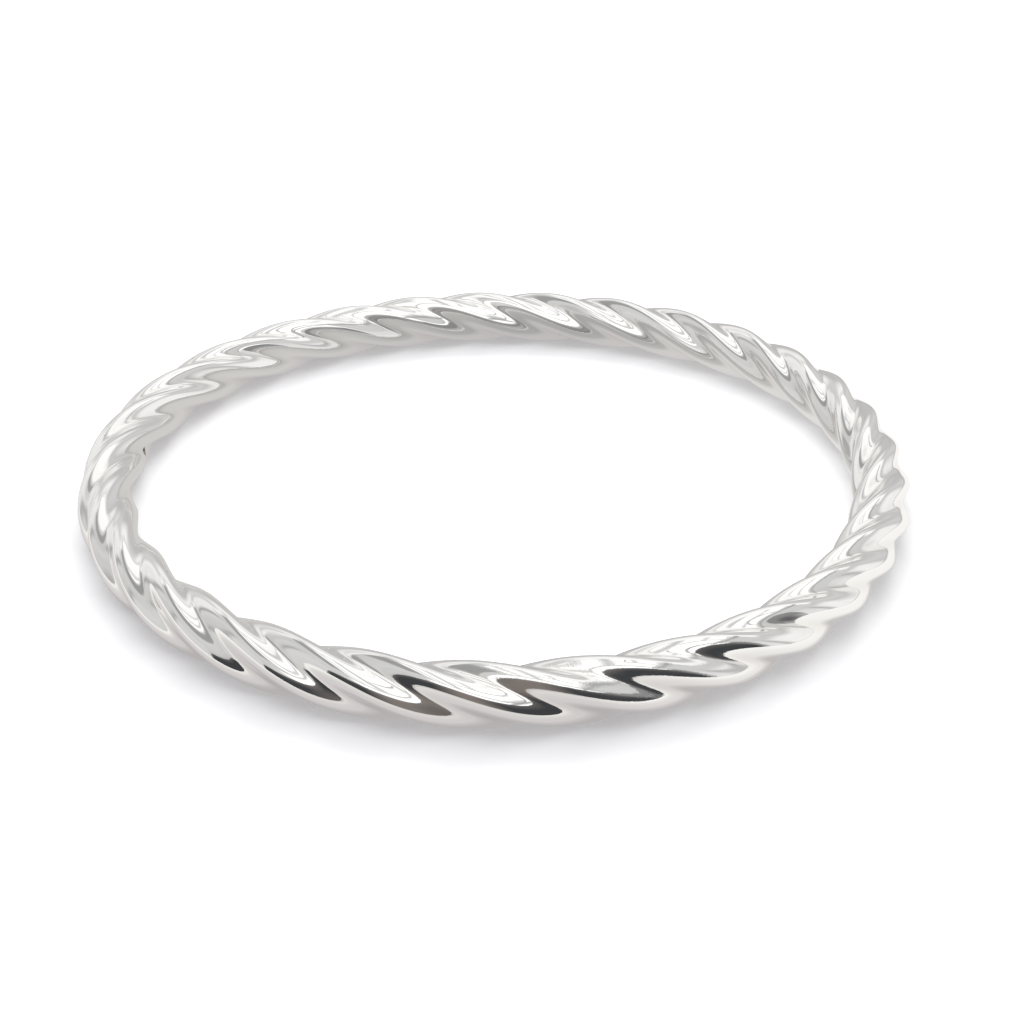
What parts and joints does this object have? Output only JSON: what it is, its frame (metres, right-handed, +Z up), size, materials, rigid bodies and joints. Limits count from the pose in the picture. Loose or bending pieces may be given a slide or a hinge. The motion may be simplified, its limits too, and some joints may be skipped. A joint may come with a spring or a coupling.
{
  "type": "twisted wire bangle",
  "caption": "Closed round bangle of bright metal, its thick wire twisted into rounded rope-like ridges; slips over the hand and lies flat on its side.",
  "frame": {"origin": "on the surface that the bangle lies on, under the middle of the ring", "axes": "+Z up through the ring's opening, square to the ring; -Y towards the near side of the ring in the picture, +X to its right"},
  "size_m": [0.0716, 0.0718, 0.0049],
  "materials": {
    "polished_silver": "mirror-polished sterling silver with light wear"
  },
  "bodies": {
    "root": {"twisted_ring": "polished_silver"}
  },
  "joints": []
}
